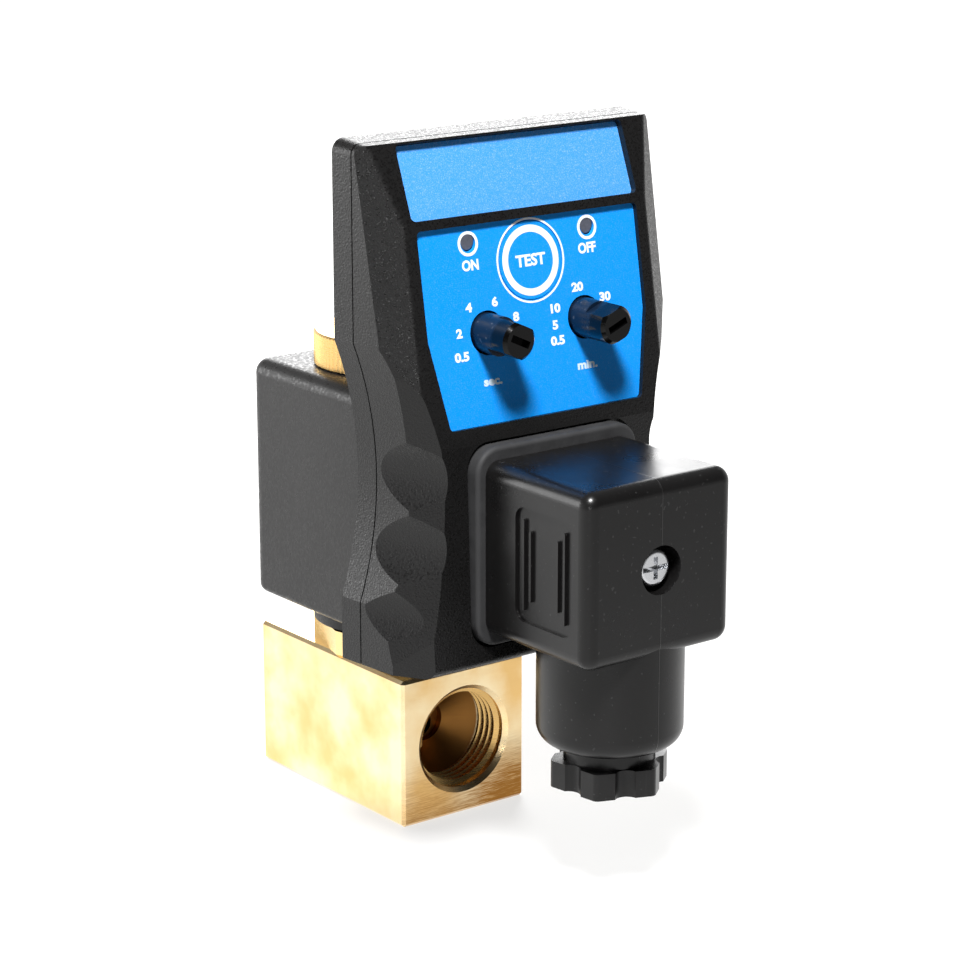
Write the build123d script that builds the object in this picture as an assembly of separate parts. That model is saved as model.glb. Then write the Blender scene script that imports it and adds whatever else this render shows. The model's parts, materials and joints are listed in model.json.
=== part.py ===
from build123d import *
import math
import os

os.makedirs("parts", exist_ok=True)

# Timer-controlled condensate drain valve.  Millimetres, +X right seen from the front,
# +Y to the rear, +Z up.  The origin is the middle of the valve body's underside,
# below the axis of the guide tube.

# ---------------------------------------------------------------- fits
part_gap = 0.3           # between pieces that move against each other
turn_fit = 0.1           # radial running fit
seat_fit = 0.05          # radial gap of pieces that are pushed or screwed together
seal_gap = 0.1           # closed seal over its seat
overlap = 1.0            # how far joined shapes run into each other

# ---------------------------------------------------------------- valve body
body_w = 24.5
body_d = 40.6
body_h = 24.7
body_edge = 0.5
port_r = 8.33            # G3/8 wall, major radius
port_mouth_r = 9.05
port_depth = 10.8
port_z = 12.6
port_floor_cone = 3.4
port_step_r = 3.4
port_step = 1.2          # pocket past the cone
passage_r = 2.1
inlet_hole_r = 1.6
inlet_rise = 1.75        # chamber floor to the middle of the inlet hole
chamber_r = 7.5
chamber_floor = 14.9
spigot_r = 8.9
spigot_len = 6.0
seat_r = 4.2
seat_h = 1.3
orifice_r = 1.9
flange_ring_r = 10.4
flange_ring_h = 1.3

# ---------------------------------------------------------------- guide tube and plunger
hex_af = 23.0
hex_h = 4.0
hex_turn = 15
hex_corner_r = 12.65
tube_r = 6.7
tube_wall = 0.5
tube_low = 19.4
tube_top = 69.5
stud_r = 4.0
stud_top = 78.0
stud_bevel = 0.6
plunger_travel = 1.6
plunger_len = 28.0
plunger_flat = 0.7
plunger_seal_r = 3.4
plunger_seal_h = 2.4
seal_lip = 0.7
air_gap = 0.2
spring_r = 2.3
spring_wire_r = 0.3
spring_turns = 6
spring_bore_r = 2.9
spring_len = 11.0
ring_out_r = 5.0
ring_in_r = 4.1
ring_h = 1.5

# ---------------------------------------------------------------- coil
coil_w = 32.0
coil_front = 25.9        # distance from the tube axis to the front face
coil_back = 16.6
coil_low = 31.9
coil_h = 39.6
coil_round = 3.0
coil_top_round = 2.4
coil_low_round = 1.5
coil_boss_r = 12.6
boss_gap = 0.3
bobbin_wall = 1.0
bobbin_flange = 1.5
bobbin_len = 33.0
winding_r = 11.8
yoke_t = 1.6
yoke_w = 20.0
coil_seal_r = 1.1
nut_r = 11.95
nut_h = 5.4
nut_teeth = 90
nut_tooth = 0.16
nut_bevel_h = 0.35
nut_bevel = 0.35

# ---------------------------------------------------------------- timer housing
house_gap = 0.2          # coil front face to the housing's rear edge
shoulder_w = 28.3        # half widths at the rear edge
waist_w = 24.35
foot_w = 27.6
house_top = 113.6
shoulder_z = 83.6
waist_z = 62.9
foot_z = 43.6
house_low = 33.7
outline_drop = 20.0      # the outline runs on below the foot, then gets cut off
house_draft = 5.5
rear_depth = 4.3
wall = 2.2
face_top_z = 101.2       # where the upper face leans back from the control face
control_slope = 9.65
upper_slope = 21.0
face_top_out = 10.56     # the ridge between the faces, ahead of the rear edge
control_low_z = 68.5
front_low_out = 17.4     # lower front face at the foot, ahead of the rear edge
lip_bevel = 0.25
bevel_x = 4.8            # wide bevel beside the control face
bevel_y = 3.6
lower_bevel_out = 11.6   # where the lower corner bevel starts, ahead of the rear edge
lower_bevel_angle = 33
crest_round = 1.2
top_round = 2.0
foot_round = 1.5
grip_r = 8.0
grip_depth = 3.6
grip_len = 12.0
grip_heights = (64.0, 53.8, 43.4)

# ---------------------------------------------------------------- labels and controls
label_t = 0.4
control_recess = 0.7     # from the frame to the label's face
upper_recess = 1.1
label_corner = 0.8
control_half = 20.9
control_foot_half = 18.4
control_len = 29.9
control_kink = 16.2
upper_half = 21.4
upper_len = 11.6
divider = 1.5
test_down = 6.45         # distances down the control label
test_r = 5.9
test_gap = 0.12
test_stem_r = 1.6
test_stem = 0.6
collar_t = 0.7
collar_rim = 1.0
led_down = 2.7
led_x = 11.35
led_r = 1.35
led_dome = 0.3
led_sink = 0.15          # lamp tip behind the label's face
led_flange = 0.5
led_flange_t = 1.0
knob_x = 9.3
knob_down = 16.4
knob_r = 3.0
knob_hole_r = 3.3
knob_out = 7.9
knob_flat = 2.4
knob_flat_len = 4.6
knob_slot_w = 1.1
knob_slot_d = 0.9
knob_slot_half = 1.8
knob_bevel = 0.5
knob_turns = (-35, 0)    # as the two knobs are set
pivot_r = 1.4
pivot_len = 3.0

# ---------------------------------------------------------------- board
board_back = 3.2         # rear edge of the housing to the board
board_t = 1.6
board_half = 17.5
board_low = 67.0
board_top = 103.0
post_r = 2.2
post_x = 14.0
post_inset = 3.0
pot_w = 8.6
pot_t = 4.4
switch_w = 6.0
switch_t = 2.0
switch_key_h = 0.3
screw_x = 21.3
screw_low_z = 38.8
screw_top_z = 103.2
screw_r = 1.4
screw_head_r = 2.7
screw_head_h = 1.8
screw_len = 6.4
screw_boss_r = 3.1
screw_sink = 0.6
cross_half = 1.9         # cross recess of the shell screws
cross_slot_half = 0.35
cross_depth = 1.0

part_low = 1.5           # parts stand this far above the board's lower edge
board_parts = (          # left and right x, thickness and height
    (-15.0, -4.0, 5.0, 8.0),
    (-1.5, 6.5, 3.0, 8.5),
    (9.0, 15.0, 1.8, 8.0),
)

# ---------------------------------------------------------------- electrical interface
plug_z = 52.75
blade_x = 9.0
blade_w = 6.0
blade_t = 0.8
blade_len = 7.0
blade_root = 3.0
blade_anchor = 1.5
blade_fit = 0.1
gasket_half = 15.5
gasket_round = 4.0
gasket_t = 3.05
gasket_edge = 0.7
pocket_out = 15.2        # pocket floor ahead of the rear edge
pocket_gap = 0.4
pocket_back = 2.4
coil_gasket_half = 13.5
coil_gasket_round = 2.5
coil_gasket_t = 1.4
socket_half = 12.0
socket_t = 5.0
block_round = 1.5
boss_wall = 1.6
insert_r = 2.6
insert_len = 7.0

# ---------------------------------------------------------------- plug
plug_w = 28.0
plug_h = 27.0
plug_len = 23.95
plug_round = 2.4
plug_front_round = 2.15
plug_wall = 2.2
plug_front_wall = 3.0
panel_y = (7.2, 20.4)    # side recess, measured ahead of the gasket
panel_z = (-9.0, 8.6)    # side recess, measured from the plug's middle
panel_depth = 0.5
panel_round = 2.0
rib_t = 0.45
ribs = ((0.24, 0.62), (0.36, 0.8))    # place and length as shares of the recess
screw_well_r = 3.75
screw_well_d = 4.4
plug_screw_r = 1.5
plug_head_r = 2.9
plug_head_h = 2.2
plug_head_round = 0.7
plug_slot_half_w = 0.4
plug_slot_half = 2.4
plug_cross_half = 1.7
plug_slot_d = 1.1
plug_screw_short = 1.5   # from the screw's end to the end of its insert
washer_t = 0.8
carrier_gap = 0.4        # carrier to the plug's walls
carrier_t = 13.0
carrier_screw_r = 1.6
carrier_screw_len = 4.0
carrier_screw_sink = 0.6
carrier_slot_half_w = 0.25
carrier_slot_d = 0.6
gland_back = 11.4        # gland axis behind the plug's front face
gland_r = 11.2
gland_low = 23.3
gland_round = 3.0
cable_r = 4.0
cable_way_r = 5.0        # opening from the gland into the plug
neck_r = 7.0
nut_neck_fit = 0.1
nut_bore_r = 4.6
washer_bore_r = 4.3
gland_nut_corner_r = 9.35
gland_nut_h = 4.2
gland_nut_round = 1.0
gland_nut_low = 16.6
gland_nut_turn = -22
gland_nut_groove_r = 1.9
gland_nut_groove_d = 0.9
gland_seal_h = 6.0
gland_washer_h = 0.8
shelf_down = 4.8         # underside of the plug to the shelf its seal meets

# ---------------------------------------------------------------- derived places
body_top = body_h
hex_top = body_top + hex_h
coil_top = coil_low + coil_h
boss_low = hex_top + boss_gap
coil_bore_r = tube_r + turn_fit
seat_top = chamber_floor + seat_h
seal_low = seat_top + seal_gap
plunger_low = seal_low + seal_lip
plunger_top = plunger_low + plunger_len
core_low = plunger_top + plunger_travel + air_gap
plunger_r = tube_r - tube_wall - turn_fit
core_r = tube_r - tube_wall - seat_fit
house_back = coil_front + house_gap          # forward distances from the tube axis
parting = house_back + rear_depth
ridge_out = house_back + face_top_out
pocket_floor = house_back + pocket_out
gasket_front = pocket_floor + gasket_t
plug_front = gasket_front + plug_len
gland_out = plug_front - gland_back
board_face = house_back + board_back + board_t
control_tan = math.tan(math.radians(control_slope))
upper_tan = math.tan(math.radians(upper_slope))
control_sin = math.sin(math.radians(control_slope))
control_cos = math.cos(math.radians(control_slope))
control_low_out = ridge_out + (face_top_z - control_low_z) * control_tan
label_out = ridge_out - control_recess / control_cos + divider / 2 * control_sin
label_top_z = face_top_z - divider / 2 * control_cos
knob_z = label_top_z - knob_down * control_cos
led_z = label_top_z - led_down * control_cos
switch_z = label_top_z - (test_down - 0.4) * control_cos
knob_tip = label_out + knob_down * control_sin + knob_out
led_tip = label_out + led_down * control_sin - led_sink
well_floor = plug_front - screw_well_d
seal_shelf = plug_z - plug_h / 2 - shelf_down
gland_bore_r = neck_r + nut_neck_fit
carrier_half = plug_w / 2 - plug_wall - carrier_gap
carrier_half_h = plug_h / 2 - plug_wall - carrier_gap
LOW = (Align.CENTER, Align.CENTER, Align.MIN)


# ---------------------------------------------------------------- helpers
def front_plane(out):
    """Upright plane that faces forward, so far ahead of the tube axis."""
    return Plane.XZ.offset(out)


def block(x0, x1, out0, out1, z0, z1):
    """Box between two x, two forward distances and two heights."""
    size = Box(x1 - x0, out1 - out0, z1 - z0)
    return Pos((x0 + x1) / 2, -(out0 + out1) / 2, (z0 + z1) / 2) * size


def post(r, z0, z1, x=0, out=0):
    """Upright cylinder."""
    return Pos(x, -out, z0) * Cylinder(r, z1 - z0, align=LOW)


def pin(r, out0, out1, x=0, z=0):
    """Cylinder that points forward."""
    return front_plane(out0) * Pos(x, z, 0) * Cylinder(r, out1 - out0, align=LOW)


def rounded_pad(half_x, half_z, r, out0, out1, z):
    """Upright plate with rounded corners."""
    sketch = front_plane(out0) * Pos(0, z) * RectangleRounded(2 * half_x, 2 * half_z, r)
    return extrude(sketch, out1 - out0)


def save(name, shape):
    """Write one node."""
    export_step(shape, f"parts/{name}.step")


def control_plane(depth=0.0):
    """Plane of the control face; depth is measured inward from the frame."""
    normal = (0, -control_cos, control_sin)
    origin = Vector(0, -ridge_out, face_top_z) - Vector(*normal) * depth
    return Plane(origin=origin, x_dir=(1, 0, 0), z_dir=normal)


def upper_plane(depth=0.0):
    """Plane of the upper face; depth is measured inward from the frame."""
    lean = math.radians(upper_slope)
    normal = (0, -math.cos(lean), math.sin(lean))
    origin = Vector(0, -ridge_out, face_top_z) - Vector(*normal) * depth
    return Plane(origin=origin, x_dir=(1, 0, 0), z_dir=normal)


# ---------------------------------------------------------------- valve body
def port(side):
    """Cutter for one threaded port; side is 1 at the front and -1 at the rear."""
    mouth = body_d / 2
    plane = Plane(origin=(0, -side * mouth, port_z), x_dir=(side, 0, 0), z_dir=(0, side, 0))
    countersink = port_mouth_r - port_r
    profile = Polyline(
        (0, 0), (port_mouth_r, 0), (port_r, countersink), (port_r, port_depth - port_floor_cone),
        (port_step_r, port_depth), (port_step_r, port_depth + port_step), (0, port_depth + port_step),
        close=True)
    turned = revolve(Plane.XZ * make_face(profile), Axis.Z)
    return plane * turned


def valve_body():
    shape = Box(body_w, body_d, body_h, align=LOW)
    shape = chamfer(shape.edges(), body_edge)
    shape -= port(1) + port(-1)
    shape -= post(spigot_r + seat_fit, body_top - spigot_len - part_gap, body_top)
    shape -= post(flange_ring_r, body_top - flange_ring_h, body_top)
    chamber = post(chamber_r, chamber_floor, body_top)
    seat = post(seat_r, chamber_floor, seat_top) - post(orifice_r, chamber_floor, seat_top)
    shape = shape - chamber + seat
    passage_z = chamber_floor - overlap - passage_r
    shape -= post(orifice_r, passage_z, seat_top)
    reach = body_d / 2 - port_depth
    mouth_side = reach + port_floor_cone + overlap
    shape -= pin(passage_r, -passage_r, reach, z=passage_z)
    inlet_z = chamber_floor + inlet_rise
    return shape - pin(inlet_hole_r, -mouth_side, -seat_r - overlap, z=inlet_z)


def base_o_ring():
    middle = (flange_ring_r + spigot_r) / 2
    return Pos(0, 0, body_top - flange_ring_h / 2) * Torus(middle, flange_ring_h / 2 - seat_fit)


def tube_base():
    hexagon = Rot(0, 0, hex_turn) * RegularPolygon(hex_af / 2, 6, major_radius=False)
    shape = Pos(0, 0, body_top) * extrude(hexagon, hex_h)
    shape &= post(hex_corner_r, body_top, hex_top)
    shape += post(spigot_r, body_top - spigot_len, body_top)
    return shape - post(tube_r + seat_fit, body_top - spigot_len, hex_top)


def guide_tube():
    return post(tube_r, tube_low, tube_top) - post(tube_r - tube_wall, tube_low, tube_top)


def fixed_core():
    shape = post(core_r, core_low, tube_top)
    shape += post(stud_r, tube_top, stud_top)
    stud_end = shape.edges().filter_by(GeomType.CIRCLE).sort_by(Axis.Z)[-1]
    shape = chamfer(stud_end, stud_bevel)
    ring_space = post(ring_out_r, core_low, core_low + ring_h)
    ring_space -= post(ring_in_r, core_low, core_low + ring_h)
    return shape - ring_space


def shading_ring():
    ring = post(ring_out_r - seat_fit, core_low, core_low + ring_h - seat_fit)
    return ring - post(ring_in_r + seat_fit, core_low, core_low + ring_h)


# ---------------------------------------------------------------- plunger
def plunger():
    shape = post(plunger_r, plunger_low, plunger_top)
    for side in (-1, 1):
        flat = block(-plunger_r, plunger_r, -plunger_flat, plunger_flat, plunger_low, plunger_top)
        shape -= Pos(0, side * plunger_r, 0) * flat
    shape -= post(plunger_seal_r + seat_fit, plunger_low, seal_low + plunger_seal_h)
    shape -= post(spring_bore_r, plunger_top + plunger_travel + air_gap - spring_len, plunger_top)
    return shape


def plunger_seal():
    return post(plunger_seal_r, seal_low, seal_low + plunger_seal_h)


def plunger_spring():
    rise = spring_len - 2 * spring_wire_r - 2 * seat_fit
    low = core_low - spring_len + spring_wire_r + seat_fit
    path = Helix(rise / spring_turns, rise, spring_r)
    section = Plane(origin=path @ 0, z_dir=path % 0) * Circle(spring_wire_r)
    return Pos(0, 0, low) * sweep(section, path)


# ---------------------------------------------------------------- coil
def bobbin_heights():
    middle = coil_low + coil_h / 2
    return middle - bobbin_len / 2, middle + bobbin_len / 2


def coil_bobbin():
    low, top = bobbin_heights()
    core = coil_bore_r + bobbin_wall
    shape = post(core, low, top)
    shape += post(winding_r, low, low + bobbin_flange)
    shape += post(winding_r, top - bobbin_flange, top)
    return shape - post(coil_bore_r, low, top)


def coil_winding():
    low, top = bobbin_heights()
    shape = post(winding_r, low + bobbin_flange, top - bobbin_flange)
    return shape - post(coil_bore_r + bobbin_wall, low, top)


def coil_yoke():
    low, top = bobbin_heights()
    half = yoke_w / 2
    plates = block(-half, half, -winding_r - yoke_t, winding_r, low - yoke_t, low)
    plates += block(-half, half, -winding_r - yoke_t, winding_r, top, top + yoke_t)
    plates -= post(coil_bore_r, low - yoke_t, top + yoke_t)
    leg = block(-half, half, -winding_r - yoke_t, -winding_r, low, top)
    return plates + leg


def coil_body():
    shape = block(-coil_w / 2, coil_w / 2, -coil_back, coil_front, coil_low, coil_top)
    shape = fillet(shape.edges().filter_by(Axis.Z), coil_round)
    shape = fillet(shape.faces().sort_by(Axis.Z)[-1].edges(), coil_top_round)
    shape = fillet(shape.faces().sort_by(Axis.Z)[0].edges(), coil_low_round)
    shape += post(coil_boss_r, boss_low, coil_low + overlap)
    low, top = bobbin_heights()
    shape -= post(coil_bore_r, boss_low, coil_top)
    shape -= post(winding_r + seat_fit, low, top)
    shape -= coil_yoke()
    shape -= coil_seal_space()
    for x, z, w, h in blade_places():
        shape -= block(x - w / 2, x + w / 2, coil_front - blade_root, coil_front, z - h / 2, z + h / 2)
    return shape


def coil_seal_space():
    return post(coil_bore_r + 2 * coil_seal_r, boss_low, boss_low + 2 * coil_seal_r)


def coil_seal():
    """O-ring that keeps water out of the coil's bore."""
    major = coil_bore_r + coil_seal_r
    return Pos(0, 0, boss_low + coil_seal_r) * Torus(major, coil_seal_r - seat_fit)


def coil_nut():
    low = coil_top + part_gap
    points = []
    for tooth in range(nut_teeth):
        angle = 2 * math.pi * tooth / nut_teeth
        half = math.pi / nut_teeth
        points.append((nut_r * math.cos(angle), nut_r * math.sin(angle)))
        root = nut_r - nut_tooth
        points.append((root * math.cos(angle + half), root * math.sin(angle + half)))
    shape = extrude(Pos(0, 0, low) * make_face(Polyline(*points, close=True)), nut_h)
    shoulder = low + nut_h - nut_bevel_h
    lid = Pos(0, 0, shoulder) * Cone(nut_r, nut_r - nut_bevel, nut_bevel_h, align=LOW)
    shape &= post(nut_r, low, shoulder) + lid
    return shape - post(stud_r + turn_fit, low, low + nut_h)


# ---------------------------------------------------------------- electrical blades
def blade_places():
    """Two live blades beside each other and the earth blade below them."""
    return (
        (-blade_x, plug_z, blade_t, blade_w),
        (blade_x, plug_z, blade_t, blade_w),
        (0, plug_z - blade_x, blade_w, blade_t),
    )


def blades(out0, out1, clearance=0.0):
    group = []
    for x, z, w, h in blade_places():
        half_w = w / 2 + clearance
        half_h = h / 2 + clearance
        group.append(block(x - half_w, x + half_w, out0, out1, z - half_h, z + half_h))
    return Compound(children=group)


def blade_slots(shape, out0, out1):
    for slot in blades(out0, out1, blade_fit).children:
        shape -= slot
    return shape


def coil_gasket():
    front = coil_front + coil_gasket_t
    half = coil_gasket_half
    shape = rounded_pad(half, half, coil_gasket_round, coil_front, front, plug_z)
    return blade_slots(shape, coil_front, front)


def socket_block():
    """Carrier inside the timer that grips the coil's blades."""
    back = house_back + wall
    shape = rounded_pad(socket_half, socket_half, block_round, back, back + socket_t, plug_z)
    return blade_slots(shape, back, coil_front + blade_len + seat_fit)


# ---------------------------------------------------------------- timer housing form
def house_outline(inset):
    """Front outline: square shoulders, curved waist and straight foot."""
    low = house_low - outline_drop
    right = Line((shoulder_w - inset, house_top - inset), (shoulder_w - inset, shoulder_z))
    right += ThreePointArc(
        (shoulder_w - inset, shoulder_z), (waist_w - inset, waist_z), (foot_w - inset, foot_z))
    right += Line((foot_w - inset, foot_z), (foot_w - inset, low))
    left = mirror(right, Plane.YZ)
    top = Line((-shoulder_w + inset, house_top - inset), (shoulder_w - inset, house_top - inset))
    base = Line((foot_w - inset, low), (-foot_w + inset, low))
    outline = make_face(Wire(right.edges() + left.edges() + top.edges() + base.edges()))
    return fillet(outline.vertices().group_by(Axis.Y)[-1], top_round)


def side_profile(inset):
    """Leaning front seen from the side, as a slab right across the housing."""
    shift = inset / control_cos
    low_out = house_back + front_low_out - inset
    top = house_top + wall
    points = [
        (0, house_low + inset),
        (low_out, house_low + inset),
        (control_low_out - shift, control_low_z),
        (ridge_out - shift, face_top_z),
        (ridge_out - shift - (top - face_top_z) * upper_tan, top),
        (0, top),
    ]
    plane = Plane(origin=(0, 0, 0), x_dir=(0, -1, 0), z_dir=(-1, 0, 0))
    sketch = plane * make_face(Polyline(*points, close=True))
    return extrude(sketch, 2 * shoulder_w, both=True)


def side_half(z):
    """Half width of the housing's rear edge at a height below the shoulder."""
    if z <= foot_z:
        return foot_w
    arc = ThreePointArc((shoulder_w, shoulder_z), (waist_w, waist_z), (foot_w, foot_z))
    centre = arc.arc_center
    return centre.X - math.sqrt(arc.radius ** 2 - (z - centre.Y) ** 2)


def shrink(out):
    """How far the draft has drawn the sides in at a forward distance."""
    return (out - house_back) * math.tan(math.radians(house_draft))


def corner_planes(inset):
    """The two leaning planes that bevel the corners beside the control face."""
    crease = ridge_out - bevel_y
    half = shoulder_w - inset - shrink(crease)
    face = control_plane(inset)
    for side in (-1, 1):
        origin = face.origin + Vector(side * (half - bevel_x), 0, 0)
        normal = Vector(side * bevel_y, 0, 0) + face.z_dir * bevel_x
        yield Plane(origin=origin, x_dir=face.y_dir, z_dir=normal)


def grip_cutter(side, z, r):
    """Finger groove that deepens towards the front; r is the cutter's radius."""
    front = house_back + front_low_out
    back = front - grip_len
    half = side_half(z)
    floor_back = Vector(side * (half - shrink(back)), -back, z)
    floor_front = Vector(side * (half - shrink(front) - grip_depth), -front, z)
    along = (floor_front - floor_back).normalized()
    outward = Vector(side * abs(along.Y), -abs(along.X), 0)
    start = floor_back + outward * grip_r - along * grip_len
    return Plane(origin=start, z_dir=along) * Cylinder(r, 4 * grip_len, align=LOW)


def lies_on(edge, plane):
    """True where an edge's ends and middle lie in a plane."""
    return all(abs(plane.to_local_coords(edge @ t).Z) < 0.01 for t in (0, 0.5, 1))


def soften(form):
    """Round the moulded corners of the front."""
    crests = [e for e in form.edges() if lies_on(e, control_plane()) and abs((e @ 0.5).X) > 1]
    form = fillet([e for e in crests if (e @ 0.5).Z > shoulder_z], crest_round)
    ridge = [e for e in form.edges() if lies_on(e, control_plane()) and lies_on(e, upper_plane())]
    form = fillet(ridge, crest_round)
    front = house_back + front_low_out - 0.1
    foot = [e for e in form.edges() if (e @ 0.5).Z < house_low + 0.01 and -(e @ 0.5).Y > front]
    return fillet(foot, foot_round)


def house_form(inset=0.0):
    """Outer form of the closed timer housing, shrunk by inset for the space inside."""
    reach = front_low_out + wall
    back = front_plane(house_back)
    form = extrude(back * house_outline(inset), reach, taper=house_draft)
    bevel_start = shrink(house_back + lower_bevel_out)
    spread = lower_bevel_out * math.tan(math.radians(lower_bevel_angle)) - bevel_start
    form &= extrude(back * house_outline(inset - spread), reach, taper=lower_bevel_angle)
    form &= side_profile(inset)
    for plane in corner_planes(inset):
        form -= plane * Box(2 * house_top, house_top, shoulder_w, align=LOW)
    if inset == 0:
        form = soften(form)
    for side in (-1, 1):
        for z in grip_heights:
            form -= grip_cutter(side, z, grip_r + inset)
    return form


def slab(out0, out1):
    """Everything between two forward distances."""
    reach = 2 * house_top
    return block(-reach, reach, out0, out1, -reach, reach)


def shell_groove():
    """Fine witness groove along the line where the two shells meet."""
    band = slab(parting - lip_bevel / 2, parting + lip_bevel / 2)
    return (band & house_form()) - house_form(lip_bevel)


def screw_places():
    return [(x, z) for x in (-screw_x, screw_x) for z in (screw_low_z, screw_top_z)]


def post_places():
    heights = (board_low + post_inset, board_top - post_inset)
    return [(x, z) for x in (-post_x, post_x) for z in heights]


# ---------------------------------------------------------------- timer shells
def rear_shell():
    back_wall = house_back + wall
    shape = house_form() & slab(house_back, parting)
    shape -= house_form(wall) & slab(back_wall, parting)
    shape -= shell_groove()
    board_back_out = board_face - board_t
    for x, z in post_places():
        shape += pin(post_r, back_wall, board_back_out, x, z)
    for x, z in screw_places():
        shape += pin(screw_boss_r, back_wall, parting, x, z)
        shape -= pin(screw_head_r + seat_fit, house_back, house_back + screw_sink + screw_head_h, x, z)
        shape -= pin(screw_r + 2 * seat_fit, house_back, parting, x, z)
    gasket_space = coil_gasket_half + seat_fit
    gasket_top = coil_front + coil_gasket_t
    shape -= rounded_pad(gasket_space, gasket_space, coil_gasket_round, house_back, gasket_top, plug_z)
    return blade_slots(shape, house_back, back_wall)


def label_outline(half, foot_half, kink, length, top):
    """Film outline with straight sides down to the kink, then drawn in to its foot."""
    points = [(half, top), (half, top - kink), (foot_half, top - length)]
    points += [(-x, y) for x, y in reversed(points)]
    return fillet(make_face(Polyline(*points, close=True)).vertices(), label_corner)


def control_label_outline():
    return label_outline(control_half, control_foot_half, control_kink, control_len, -divider / 2)


def upper_label_outline():
    top = divider / 2 + upper_len
    return label_outline(upper_half, upper_half, upper_len / 2, upper_len, top)


def control_openings(extra):
    """Cutters for the button, lamps and knobs; extra widens the lamp and knob holes."""
    test_place = control_plane() * Pos(0, -divider / 2 - test_down, 0)
    cutters = [test_place * Cylinder(test_r + test_gap, 4 * wall)]
    for side in (-1, 1):
        cutters.append(pin(led_r + extra, board_face, ridge_out + wall, side * led_x, led_z))
        cutters.append(pin(knob_hole_r + extra, board_face, gasket_front, side * knob_x, knob_z))
    return cutters


def front_shell():
    shape = house_form() & slab(parting, gasket_front)
    cavity = house_form(wall) & slab(parting, gasket_front)
    cavity -= slab(pocket_floor - pocket_back, gasket_front) & block(
        -gasket_half - wall, gasket_half + wall, 0, gasket_front,
        plug_z - gasket_half - wall, plug_z + gasket_half + wall)
    cavity -= pin(insert_r + boss_wall, pocket_floor - insert_len, pocket_floor, 0, plug_z)
    for x, z in screw_places():
        cavity -= pin(screw_boss_r, parting, gasket_front, x, z)
    shape -= cavity
    shape -= shell_groove()
    for x, z in screw_places():
        shape -= pin(screw_r, parting, house_back + screw_sink + screw_len, x, z)
    shape -= control_plane(control_recess + label_t) * extrude(control_label_outline(), 3 * wall)
    shape -= upper_plane(upper_recess + label_t) * extrude(upper_label_outline(), 3 * wall)
    for cutter in control_openings(0.0):
        shape -= cutter
    pocket_half = gasket_half + pocket_gap
    shape -= rounded_pad(pocket_half, pocket_half, gasket_round, pocket_floor, gasket_front + wall, plug_z)
    shape -= pin(insert_r, pocket_floor - insert_len, pocket_floor, 0, plug_z)
    return blade_slots(shape, pocket_floor - pocket_back - wall, pocket_floor)


def control_label():
    shape = control_plane(control_recess + label_t) * extrude(
        offset(control_label_outline(), -seat_fit), label_t)
    for cutter in control_openings(0.0):
        shape -= cutter
    return shape


def upper_label():
    outline = offset(upper_label_outline(), -seat_fit)
    return upper_plane(upper_recess + label_t) * extrude(outline, label_t)


def shell_screws():
    group = []
    head = house_back + screw_sink
    for x, z in screw_places():
        screw = pin(screw_head_r, head, head + screw_head_h - seat_fit, x, z)
        screw += pin(screw_r - seat_fit, head, head + screw_len - seat_fit, x, z)
        for half_x, half_z in ((cross_half, cross_slot_half), (cross_slot_half, cross_half)):
            screw -= block(x - half_x, x + half_x, head, head + cross_depth, z - half_z, z + half_z)
        group.append(screw)
    return Compound(children=group)


# ---------------------------------------------------------------- controls
def test_button():
    """Disc flush with the label, a hidden collar that keeps it in, and its stem."""
    place = control_plane(control_recess) * Pos(0, -divider / 2 - test_down, 0)
    disc_depth = wall - control_recess + part_gap
    collar_depth = disc_depth + collar_t
    stem_depth = collar_depth + test_stem
    disc = Pos(0, 0, -disc_depth) * Cylinder(test_r, disc_depth, align=LOW)
    collar = Pos(0, 0, -collar_depth) * Cylinder(test_r + collar_rim, collar_t, align=LOW)
    stem = Pos(0, 0, -stem_depth) * Cylinder(test_stem_r, stem_depth, align=LOW)
    return place * (disc + collar + stem)


def test_switch():
    half = switch_w / 2
    shape = block(-half, half, board_face, board_face + switch_t, switch_z - half, switch_z + half)
    return shape + pin(test_stem_r, board_face, board_face + switch_t + switch_key_h, 0, switch_z)


def led(side):
    shape = pin(led_r - seat_fit, board_face, led_tip, side * led_x, led_z)
    rim = shape.faces().sort_by(Axis.Y)[0].edges()
    shape = fillet(rim, led_dome)
    flange_top = board_face + led_flange_t
    return shape + pin(led_r + led_flange, board_face, flange_top, side * led_x, led_z)


def knob(side, turn):
    """Round shaft with two flats and a screwdriver slot at its tip."""
    start = board_face + pot_t + part_gap
    tip = knob_tip
    shape = pin(knob_r, start, tip)
    shape = chamfer(shape.faces().sort_by(Axis.Y)[0].edges(), knob_bevel)
    for way in (-1, 1):
        edge = way * (knob_flat + knob_r) / 2
        half = (knob_r - knob_flat) / 2
        shape -= block(-knob_r, knob_r, tip - knob_flat_len, tip, edge - half, edge + half)
    half = knob_slot_w / 2
    shape -= block(-knob_slot_half, knob_slot_half, tip - knob_slot_d, tip, -half, half)
    shape += pin(pivot_r, start - part_gap - pivot_len, start)
    return Pos(side * knob_x, 0, knob_z) * Rot(0, turn, 0) * shape


def time_setters():
    """The two adjustable resistors that the knobs turn."""
    group = []
    half = pot_w / 2
    for side in (-1, 1):
        x = side * knob_x
        body = block(x - half, x + half, board_face, board_face + pot_t, knob_z - half, knob_z + half)
        body -= pin(pivot_r + turn_fit, board_face + overlap, board_face + pot_t, x, knob_z)
        group.append(body)
    return Compound(children=group)


def circuit_board():
    return block(-board_half, board_half, board_face - board_t, board_face, board_low, board_top)


def board_components():
    """Supply capacitor, switching device and controller chip."""
    low = board_low + part_low
    group = []
    for x0, x1, thick, tall in board_parts:
        group.append(block(x0, x1, board_face, board_face + thick, low, low + tall))
    return Compound(children=group)


# ---------------------------------------------------------------- plug interface
def front_blades():
    return blades(pocket_floor - pocket_back - blade_anchor, pocket_floor + blade_len)


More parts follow.
